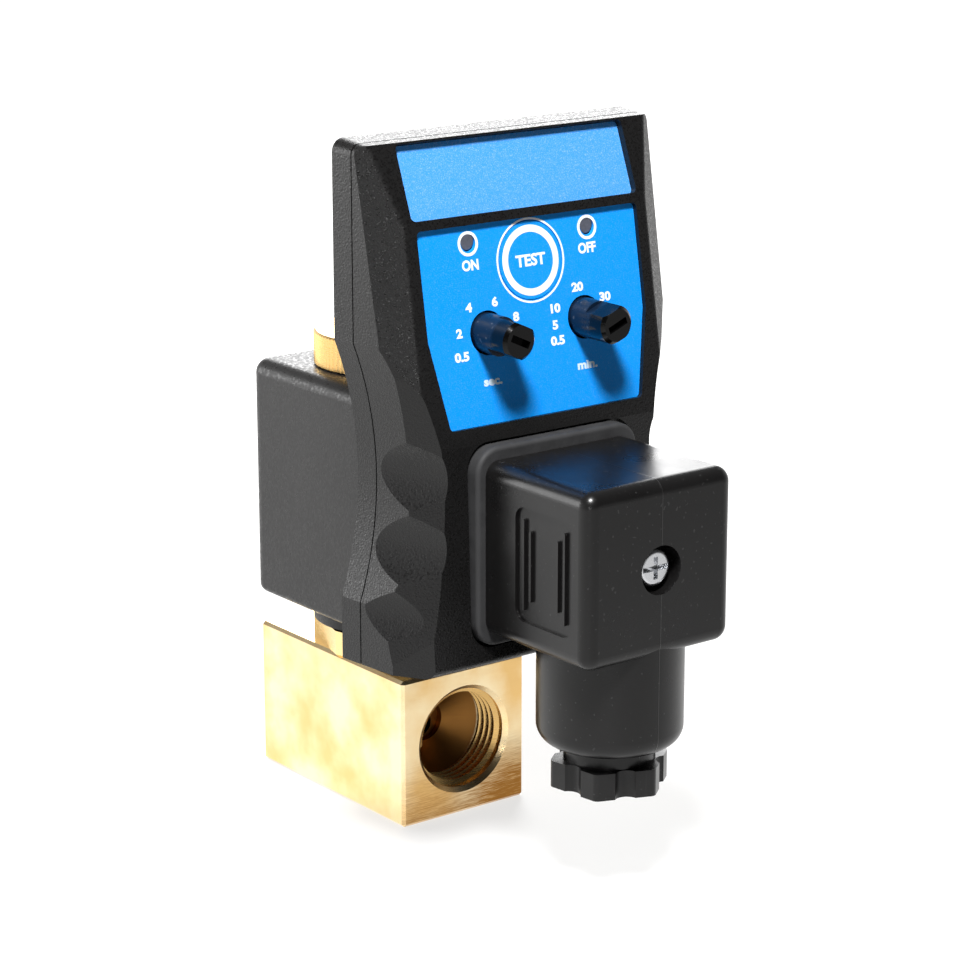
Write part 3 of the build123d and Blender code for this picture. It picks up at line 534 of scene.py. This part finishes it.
# ---------------------------------------------------------------- shape helpers
def label_frame():
    """Left-to-right, downward and outward directions of the control face, and the
    middle of the control film's top edge."""
    inward = Vector(JOINTS["test_press"]["axis"]).normalized()
    outward = -inward
    right = Vector((1, 0, 0))
    down = outward.cross(right)
    if down.z > 0:
        down.negate()
    low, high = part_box("control_label")
    lean = abs(outward.z / outward.y)
    depth = (high.z - low.z) * lean
    thick = ((high.y - low.y) - depth) / (abs(outward.y) - abs(outward.z) * lean)
    top = Vector((0, high.y - thick * abs(outward.y), high.z))
    return right, down, outward, top


def node_copy(node):
    """Bmesh of a carried-over node, with its points merged."""
    bm = bmesh.new()
    bm.from_mesh(NODES[node].data)
    bmesh.ops.remove_doubles(bm, verts=bm.verts, dist=MERGE_DISTANCE)
    return bm


def finish_piece(name, bm, material, body):
    """Turn a bmesh into a named object at the origin that rides on a body."""
    bmesh.ops.remove_doubles(bm, verts=bm.verts, dist=MERGE_DISTANCE)
    bmesh.ops.recalc_face_normals(bm, faces=bm.faces)
    mesh = bpy.data.meshes.new(name)
    bm.to_mesh(mesh)
    bm.free()
    mesh.materials.append(material)
    # A copy's carried-over normals no longer fit once it has been turned.
    if "custom_normal" in mesh.attributes:
        mesh.attributes.remove(mesh.attributes["custom_normal"])
    obj = bpy.data.objects.new(name, mesh)
    bpy.context.scene.collection.objects.link(obj)
    mesh.shade_smooth()
    mesh.set_sharp_from_angle(angle=SHARP_ANGLE)
    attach(obj, body)
    return obj


def turned_knob(node, turn, material):
    """Copy of a knob, set at another time: its slot is turned about its own shaft."""
    bm = node_copy(node)
    low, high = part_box(node)
    bmesh.ops.rotate(bm, verts=bm.verts, cent=(low + high) / 2,
                     matrix=Matrix.Rotation(turn, 3, Vector((0, 1, 0))))
    piece = finish_piece(node + "_set", bm, material, node)
    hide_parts(node)


def squeezed_spring(node, material):
    """Copy of the return spring with a mesh of its own, riding on the valve in place of the carried-over spring.
    """
    piece = finish_piece(node + "_coil", node_copy(node), material, "valve")
    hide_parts(node)
    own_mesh(piece)


def on_film(x, along):
    """Local frame of print that stands x mm to the right and along mm down the film. Its X
    is right, its Y is up the film and its Z is outward."""
    right, down, outward, top = label_frame()
    turn = Matrix((right, -down, outward)).transposed().to_4x4()
    spot = top + (right * x + down * along) * MM + outward * PRINT_LIFT
    return Matrix.Translation(spot) @ turn


def add_ring(bm, matrix, radii, thickness, segments=64):
    """Flat ring on the film between an inner and an outer radius, in mm."""
    loops = []
    for radius in radii:
        made = bmesh.ops.create_circle(bm, segments=segments, radius=radius * MM, matrix=matrix)
        edges = {edge for vert in made["verts"] for edge in vert.link_edges}
        loops += list(edges)
    faces = bmesh.ops.bridge_loops(bm, edges=loops)["faces"]
    raised = bmesh.ops.extrude_face_region(bm, geom=faces)["geom"]
    verts = [item for item in raised if isinstance(item, bmesh.types.BMVert)]
    outward = matrix.to_3x3() @ Vector((0, 0, 1))
    bmesh.ops.translate(bm, verts=verts, vec=outward.normalized() * thickness)


def add_words(bm, text, matrix, height, width, size):
    """Solid letters, centred on the local frame's origin."""
    curve = bpy.data.curves.new("word", "FONT")
    curve.size = 1.0
    curve.resolution_u = 4
    holder = bpy.data.objects.new("word", curve)
    bpy.context.scene.collection.objects.link(holder)
    curve.body = "E"        # a plain capital gives the font's own height
    bpy.context.view_layer.update()
    tall = holder.dimensions.y
    curve.body = text
    curve.size = height / tall
    curve.offset = size.boldness
    curve.extrude = size.thickness / 2
    bpy.context.view_layer.update()
    mesh = bpy.data.meshes.new_from_object(holder.evaluated_get(
        bpy.context.evaluated_depsgraph_get()))
    xs = [vert.co.x for vert in mesh.vertices]
    centre = Vector(((min(xs) + max(xs)) / 2, height / 2, -size.thickness / 2))
    mesh.transform(matrix @ Matrix.Diagonal((width, 1, 1, 1)) @ Matrix.Translation(-centre))
    bm.from_mesh(mesh)
    bpy.data.meshes.remove(mesh)
    bpy.data.objects.remove(holder)
    bpy.data.curves.remove(curve)


# ---------------------------------------------------------------- operators
class VALVE_OT_metal(bpy.types.Operator):
    """Finish the brass body, nut, guide tube, screws and inner metal pieces"""
    bl_idname = "valve.metal"
    bl_label = "Finish metal pieces"

    def execute(self, context):
        look = context.scene.valve_finishes
        dress("valve_body", machined_brass("brass_machined", look.brass, MOUNTS["outlet_port"]))
        dress("tube_base", turned_metal("brass_turned", look.brass, 0.22))
        dress("coil_nut", turned_metal("brass_knurled", KNURLED_BRASS, 0.28))
        dress("screw_insert", turned_metal("insert_turned", look.brass, 0.3))
        steel = turned_metal("steel_turned", STEEL, 0.28)
        for node in ("guide_tube", "fixed_core", "plunger", "gland_washer"):
            dress(node, steel)
        squeezed_spring("plunger_spring", steel)
        dress("coil_yoke", plated_metal("yoke_plated", YOKE_PLATING, 0.35))
        zinc = plated_metal("zinc_plated", ZINC, 0.22)
        for node in ("plug_screw", "shell_screws", "terminal_screws"):
            dress(node, zinc)
        tin = plated_metal("tin_plated", TIN, 0.3)
        for node in ("coil_blades", "front_blades"):
            dress(node, tin)
        dress("shading_ring", turned_metal("copper_turned", COPPER, 0.3))
        dress("coil_winding", wound_wire("copper_wound", ENAMELLED_COPPER))
        return {"FINISHED"}


class VALVE_OT_plastic(bpy.types.Operator):
    """Finish the housing, the coil, the plug, the knobs and the rubber pieces"""
    bl_idname = "valve.plastic"
    bl_label = "Finish plastic and rubber pieces"

    def execute(self, context):
        look = context.scene.valve_finishes
        housing = grained_plastic("housing_grained", look.housing, look.grain, 0.32)
        for node in ("rear_shell", "front_shell"):
            dress(node, housing)
        dress("coil_body", grained_plastic("coil_moulded", look.coil, 0.00002, 0.38, 0.0005))
        plug = smooth_plastic("plug_moulded", look.plug, 0.30, PLASTIC_SHINE, seam=0.12 * MM)
        for node in ("plug_housing", "gland_nut"):
            dress(node, plug)
        turns = {"on_time_knob": look.on_turn, "off_time_knob": look.off_turn}
        knob = knob_plastic("knob_moulded", look.knob, [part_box(node) for node in turns])
        for node, turn in turns.items():
            turned_knob(node, turn, knob)
        seal = rubber("rubber_moulded", look.rubber)
        for node in ("plug_gasket", "coil_gasket", "base_o_ring", "coil_seal",
                     "plunger_seal", "gland_seal", "screw_washer"):
            dress(node, seal)
        inner = smooth_plastic("inner_moulded", INNER_PLASTIC, 0.45)
        for node in ("coil_bobbin", "socket_block", "terminal_block", "board_components",
                     "time_setters", "test_switch"):
            dress(node, inner)
        dress("circuit_board", circuit_finish("board_masked", SOLDER_MASK))
        return {"FINISHED"}


class VALVE_OT_labels(bpy.types.Operator):
    """Finish the two films, the button and the lamps"""
    bl_idname = "valve.labels"
    bl_label = "Finish labels and lamps"

    def execute(self, context):
        look = context.scene.valve_finishes
        control = printed_film("film_control", look.control_film, 0.12, 0.42)
        dress("control_label", control)
        dress("test_button", control)
        dress("upper_label", printed_film("film_upper", look.upper_film, 0.42, 0.36))
        lens = lamp_lens("lens_smoky", SMOKED_LENS)
        for node in ("on_led", "off_led"):
            dress(node, lens)
        return {"FINISHED"}


class VALVE_OT_print(bpy.types.Operator):
    """Print the words, digits and rings on the control film and the button"""
    bl_idname = "valve.print"
    bl_label = "Print the controls"

    # Each row is a text, its place to the right and its place down the film, in mm.
    WORDS = (("ON", -11.3, 5.9), ("OFF", 11.0, 5.8))
    UNITS = (("sec.", -9.3, 23.4), ("min.", 8.9, 23.4))
    DIGITS = (
        ("0.5", -14.55, 19.2), ("2", -14.6, 15.7), ("4", -12.4, 12.1), ("6", -7.5, 11.8),
        ("8", -3.8, 14.5), ("10", -4.0, 19.2),
        ("0.5", 3.65, 19.1), ("5", 3.45, 16.7), ("10", 3.8, 14.2), ("20", 8.4, 11.5),
        ("30", 13.6, 13.6), ("45", 14.6, 18.6),
    )
    BUTTON_WORD = (("TEST", 0, 6.4),)
    LAMP_OFF = 11.35        # each lamp's distance from the middle
    LAMP_DOWN = 2.7
    LAMP_RING = (1.42, 1.87)
    BUTTON_DOWN = 6.45
    BUTTON_RING = (4.26, 5.33)
    HOLE_RING = (6.12, 6.42)
    HOLE_SEGMENTS = 96

    def execute(self, context):
        look = context.scene.valve_finishes
        size = context.scene.valve_print
        ink = ink_print("ink_white", look.ink)
        middle = on_film(0, self.BUTTON_DOWN)

        bm = bmesh.new()
        self.add_rows(bm, self.WORDS, size.word_height, size.word_width, size)
        self.add_rows(bm, self.DIGITS, size.digit_height, size.digit_width, size)
        for side in (-1, 1):
            lamp = on_film(side * self.LAMP_OFF, self.LAMP_DOWN)
            add_ring(bm, lamp, self.LAMP_RING, size.thickness)
        add_ring(bm, middle, self.HOLE_RING, size.thickness, self.HOLE_SEGMENTS)
        finish_piece("control_print", bm, ink, "head")

        bm = bmesh.new()
        self.add_rows(bm, self.UNITS, size.digit_height, size.unit_width, size)
        finish_piece("unit_print", bm, ink_print("ink_grey", look.unit_ink), "head")

        bm = bmesh.new()
        add_ring(bm, middle, self.BUTTON_RING, size.thickness, self.HOLE_SEGMENTS)
        self.add_rows(bm, self.BUTTON_WORD, size.test_height, size.test_width, size)
        finish_piece("button_print", bm, ink, "test_button")
        return {"FINISHED"}

    def add_rows(self, bm, rows, height, width, size):
        """Words at their places on the film."""
        for text, x, along in rows:
            add_words(bm, text, on_film(x, along), height, width, size)


class VALVE_OT_threads(bpy.types.Operator):
    """Cut the pipe thread in both ports"""
    bl_idname = "valve.threads"
    bl_label = "Add port threads"

    # Places on the ridge's section, in pitches along the port.
    FOOT = 0.92
    CREST = (0.37, 0.55)
    SUNK = 1.02     # radius of the ridge's foot against the port's, inside the wall

    def execute(self, context):
        size = context.scene.valve_thread
        # Painted shade: the threads take a darker copy of the brass, standing in for the shade inside the ports.
        brass = turned_metal("brass_thread", SHADED_THREAD_BRASS, 0.24)
        for name in ("outlet_port", "inlet_port"):
            mount = MOUNTS[name]
            axis = Vector(mount["axis"])
            middle = Vector(mount["pos_m"])
            radius = mount["dims"]["r_mm"] * MM
            length = mount["dims"]["length_mm"] * MM
            turns = math.floor(length / size.pitch - self.FOOT)
            start = middle - axis * (turns + self.FOOT) * size.pitch / 2
            side = axis.cross(Vector((0, 0, 1))).normalized()
            foot, crest = radius * self.SUNK, radius - size.height
            section = (
                (foot, 0.0), (foot, self.FOOT), (crest, self.CREST[1]), (crest, self.CREST[0]))
            bm = bmesh.new()
            verts = [bm.verts.new(start + side * r + axis * along * size.pitch)
                     for r, along in section]
            face = bm.faces.new(verts)
            bmesh.ops.spin(
                bm, geom=[face, *face.edges, *face.verts], cent=start, axis=axis,
                dvec=axis * size.pitch / size.steps, angle=2 * math.pi * turns,
                steps=size.steps * turns, use_merge=False, use_duplicate=False)
            piece = finish_piece(name.replace("port", "thread"), bm, brass, "valve")
        return {"FINISHED"}


class VALVE_OT_studio(bpy.types.Operator):
    """Build the floor, the lamps, the surroundings and the camera"""
    bl_idname = "valve.studio"
    bl_label = "Build the studio"

    FLOOR_HALF = 4.0
    # Each row is a lamp's name, direction, distance, size and the setting with its power.
    LAMPS = (
        ("key", (-0.325, -0.423, 0.846), 0.75, 0.14, "key_power"),
        ("side", (-0.64, -0.76, 0.11), 0.75, 0.08, "side_power"),
        ("back", (0.55, 0.78, 0.30), 1.0, 0.5, "back_power"),
        ("back_left", (-0.62, 0.75, 0.14), 1.0, 0.5, "back_power"),
    )
    CAMERA_PLACE = Vector((-271.8, -381.5, 179.3)) * MM
    CAMERA_AIM = Vector((5.27, -20.3, 53.5)) * MM

    def execute(self, context):
        studio = context.scene.valve_studio
        scene = context.scene
        self.floor(scene)
        for name, direction, distance, size, power in self.LAMPS:
            self.lamp(name, Vector(direction).normalized(), distance, size,
                      getattr(studio, power))
        self.surroundings(scene, studio.world_strength)
        self.camera(scene, studio.lens)
        scene.view_settings.view_transform = "Standard"
        return {"FINISHED"}

    def floor(self, scene):
        """Wide level floor under the object."""
        bm = bmesh.new()
        bmesh.ops.create_grid(bm, x_segments=1, y_segments=1, size=self.FLOOR_HALF)
        mesh = bpy.data.meshes.new("floor")
        bm.to_mesh(mesh)
        bm.free()
        floor = bpy.data.objects.new("floor", mesh)
        scene.collection.objects.link(floor)
        mesh.materials.append(self.floor_material())

    def camera(self, scene, lens):
        """Camera at the front left, a little above the object."""
        data = bpy.data.cameras.new("camera")
        camera = bpy.data.objects.new("camera", data)
        scene.collection.objects.link(camera)
        data.lens = lens
        data.sensor_width = 36.0
        data.clip_start = 0.01
        data.clip_end = 50.0
        camera.location = self.CAMERA_PLACE
        view = self.CAMERA_AIM - self.CAMERA_PLACE
        camera.rotation_mode = "QUATERNION"
        camera.rotation_quaternion = view.to_track_quat("-Z", "Y")
        scene.camera = camera

    def floor_material(self):
        """Pale floor that keeps the shadow and reads white where it is fully lit."""
        mat, tree, shader = new_material("floor_pale", FLOOR_GREY, roughness=0.6)
        cloud = noise(tree, 0.3, detail=2.0)
        tree.links.new(
            blend_colours(tree, cloud, scaled(FLOOR_GREY, 0.975), scaled(FLOOR_GREY, 1.025)),
            shader.inputs["Base Color"])
        glow = tree.nodes.new("ShaderNodeEmission")
        glow.inputs["Color"].default_value = (1.0, 0.995, 0.985, 1.0)
        path = tree.nodes.new("ShaderNodeLightPath")
        away = tree.nodes.new("ShaderNodeVectorMath")
        away.operation = "LENGTH"
        tree.links.new(place(tree), away.inputs[0])
        reach = spread(tree, away.outputs["Value"], 0.05, 0.25, 0.74, 1.0)
        clear = join_math(tree, "ADD", path.outputs["Is Glossy Ray"],
                          path.outputs["Is Transmission Ray"])
        fade = spread(tree, position(tree)["Y"], -0.24, 0.0, 0.35, 1.0)
        mirrored = join_math(tree, "MULTIPLY", join_math(tree, "MINIMUM", clear, 1.0), fade)
        seen = join_math(tree, "MULTIPLY", path.outputs["Is Camera Ray"], reach)
        seen = join_math(tree, "MAXIMUM", seen, mirrored)
        tree.links.new(seen, glow.inputs["Strength"])
        both = tree.nodes.new("ShaderNodeAddShader")
        out = tree.nodes["Material Output"]
        tree.links.new(shader.outputs["BSDF"], both.inputs[0])
        tree.links.new(glow.outputs["Emission"], both.inputs[1])
        tree.links.new(both.outputs["Shader"], out.inputs["Surface"])
        return mat

    def lamp(self, name, direction, distance, size, power):
        """Square soft lamp that looks at the middle of the object."""
        data = bpy.data.lights.new(name, "AREA")
        data.shape = "SQUARE"
        data.size = size
        data.energy = power
        lamp = bpy.data.objects.new(name, data)
        bpy.context.scene.collection.objects.link(lamp)
        middle = (CAD_BOX[0] + CAD_BOX[1]) / 2
        lamp.location = middle + direction * distance
        lamp.rotation_mode = "QUATERNION"
        lamp.rotation_quaternion = (-direction).to_track_quat("-Z", "Y")

    def surroundings(self, scene, strength):
        """White room that is darker in front of the object and overhead. Its full level is
        for reflections, and the given strength for the light it casts."""
        world = bpy.data.worlds.new("room")
        scene.world = world
        world.use_nodes = True
        tree = world.node_tree
        back = tree.nodes["Background"]
        direction = tree.nodes.new("ShaderNodeTexCoord")
        split = tree.nodes.new("ShaderNodeSeparateXYZ")
        tree.links.new(direction.outputs["Generated"], split.inputs["Vector"])
        depth = spread(tree, split.outputs["Y"], -0.65, 0.35, 0.05, 1.0)
        above = spread(tree, split.outputs["Z"], 0.25, 0.60, 1.0, 0.25)
        room = join_math(tree, "MULTIPLY", depth, above)
        back.inputs["Color"].default_value = (1.0, 1.0, 1.0, 1.0)
        path = tree.nodes.new("ShaderNodeLightPath")
        seen = path.outputs["Is Camera Ray"]
        shine = join_math(tree, "MULTIPLY", path.outputs["Is Glossy Ray"], 1.0 - strength)
        room = join_math(tree, "MULTIPLY", room, join_math(tree, "ADD", shine, strength))
        rest = join_math(tree, "MULTIPLY", room, join_math(tree, "SUBTRACT", 1.0, seen))
        tree.links.new(join_math(tree, "ADD", rest, seen), back.inputs["Strength"])


class VALVE_PT_panel(bpy.types.Panel):
    """Lists the valve's settings and steps"""
    bl_idname = "VALVE_PT_panel"
    bl_label = "Drain valve"
    bl_space_type = "VIEW_3D"
    bl_region_type = "UI"
    bl_category = "Drain valve"

    def draw(self, context):
        layout = self.layout
        for group in (context.scene.valve_finishes, context.scene.valve_print,
                      context.scene.valve_thread, context.scene.valve_studio):
            for name in group.bl_rna.properties.keys():
                if name not in ("rna_type", "name"):
                    layout.prop(group, name)
        for operator in OPERATORS:
            layout.operator(operator.bl_idname)


GROUPS = {
    "valve_finishes": ValveFinishes,
    "valve_print": ValvePrint,
    "valve_thread": ValveThread,
    "valve_studio": ValveStudio,
}
OPERATORS = (
    VALVE_OT_metal, VALVE_OT_plastic, VALVE_OT_labels, VALVE_OT_print, VALVE_OT_threads,
    VALVE_OT_studio,
)


def register():
    """Add the settings, the operators and the panel to Blender."""
    for name, group in GROUPS.items():
        bpy.utils.register_class(group)
        setattr(bpy.types.Scene, name, bpy.props.PointerProperty(type=group))
    for operator in OPERATORS:
        bpy.utils.register_class(operator)
    bpy.utils.register_class(VALVE_PT_panel)


def unregister():
    """Take them out again."""
    bpy.utils.unregister_class(VALVE_PT_panel)
    for operator in reversed(OPERATORS):
        bpy.utils.unregister_class(operator)
    for name, group in GROUPS.items():
        delattr(bpy.types.Scene, name)
        bpy.utils.unregister_class(group)


def main():
    """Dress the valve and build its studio."""
    register()
    bpy.ops.valve.metal()
    bpy.ops.valve.plastic()
    bpy.ops.valve.labels()
    bpy.ops.valve.print()
    bpy.ops.valve.threads()
    bpy.ops.valve.studio()


if __name__ == "__main__":
    main()
